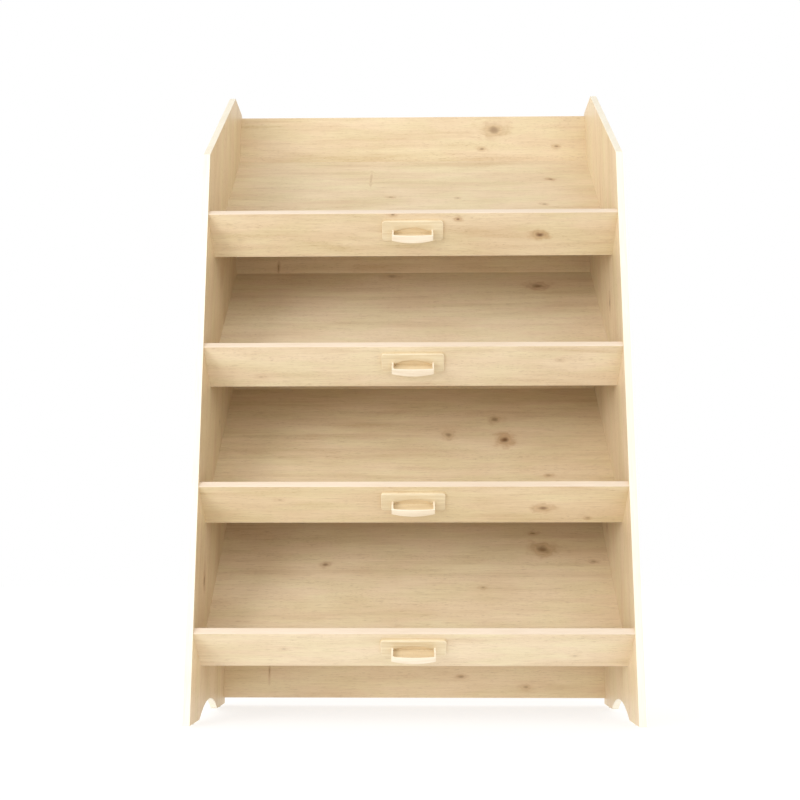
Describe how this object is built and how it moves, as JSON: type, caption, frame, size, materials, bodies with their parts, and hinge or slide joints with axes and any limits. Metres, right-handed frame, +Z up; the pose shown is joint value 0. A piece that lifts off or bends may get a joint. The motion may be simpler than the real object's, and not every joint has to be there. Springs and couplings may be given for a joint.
{
  "type": "book display stand",
  "caption": "Tall open stand with sloping trays between two side panels, each tray a leaning shelf with a front lip and a small wooden pull.",
  "frame": {"origin": "on the floor, at the middle of the footprint", "axes": "+Z up, the open front with the lips faces -Y, +X to the right of someone who stands in front of it"},
  "size_m": [1.0024, 0.4, 1.61],
  "materials": {
    "decor_board": "satin light oak decor on board",
    "edging": "satin light oak edging strip",
    "solid_wood": "clear satin lacquer on solid light wood",
    "zinc_steel": "zinc plated",
    "cap_plastic": "matt moulded plastic",
    "dowel_wood": "fluted beech, unfinished",
    "glide_plastic": "matt moulded plastic"
  },
  "bodies": {
    "root": {"left_side_panel": "decor_board", "right_side_panel": "decor_board", "left_side_edging": "edging", "right_side_edging": "edging", "back_panel": "decor_board", "back_panel_edging": "edging", "shelf_board_1": "decor_board", "shelf_board_2": "decor_board", "shelf_board_3": "decor_board", "shelf_board_4": "decor_board", "front_lip_1": "decor_board", "front_lip_2": "decor_board", "front_lip_3": "decor_board", "front_lip_4": "decor_board", "lip_edging_1": "edging", "lip_edging_2": "edging", "lip_edging_3": "edging", "lip_edging_4": "edging", "pull_plate_1": "solid_wood", "pull_plate_2": "solid_wood", "pull_plate_3": "solid_wood", "pull_plate_4": "solid_wood", "pull_grip_1": "solid_wood", "pull_grip_2": "solid_wood", "pull_grip_3": "solid_wood", "pull_grip_4": "solid_wood", "pull_screws": "zinc_steel", "left_assembly_screws": "zinc_steel", "right_assembly_screws": "zinc_steel", "left_screw_caps": "cap_plastic", "right_screw_caps": "cap_plastic", "end_dowels": "dowel_wood", "lip_dowels": "dowel_wood", "foot_glides": "glide_plastic"}
  },
  "joints": []
}
